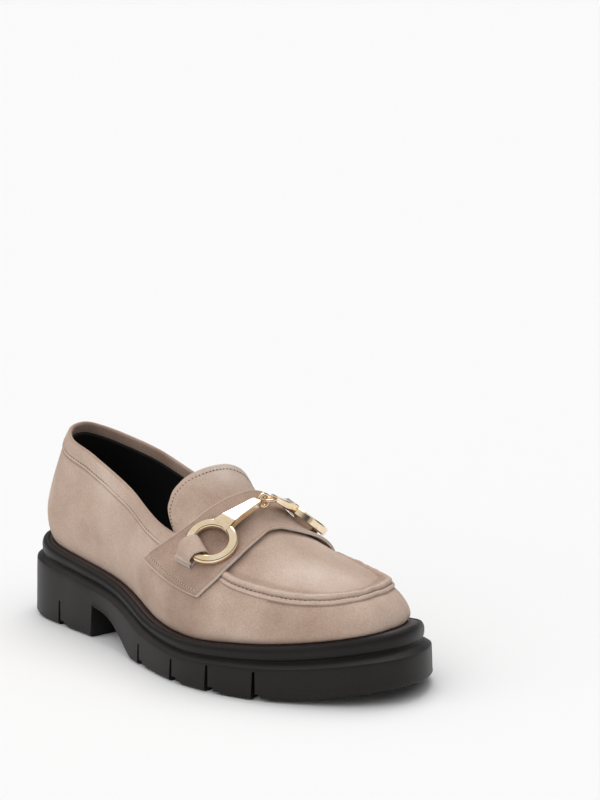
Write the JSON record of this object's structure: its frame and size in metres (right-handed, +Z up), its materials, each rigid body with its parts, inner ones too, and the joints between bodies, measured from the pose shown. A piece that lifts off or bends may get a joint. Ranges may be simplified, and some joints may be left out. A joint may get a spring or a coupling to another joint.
{
  "type": "bit loafer",
  "caption": "Right suede bit loafer with a raised apron, a saddle strap with linked metal bit, and a thick rubber sole with heel and grooved edge.",
  "frame": {"origin": "centre of the bounding box at floor level", "axes": "+X to the toe, +Y to the inner side of the foot, +Z up"},
  "size_m": [0.2736, 0.1098, 0.1038],
  "materials": {
    "rubber": "moulded black rubber, satin",
    "welt": "dark brown smooth strip",
    "lining": "black smooth lining leather",
    "suede": "taupe suede with a short nap",
    "metal": "pale gold plating, polished"
  },
  "bodies": {
    "root": {"outsole": "rubber", "welt": "welt", "insole": "lining", "upper": "suede", "tongue": "suede", "saddle_strap": "suede", "bit_loop_outer": "suede", "bit_loop_inner": "suede", "bit_half_outer": "metal", "bit_half_inner": "metal"}
  },
  "joints": []
}
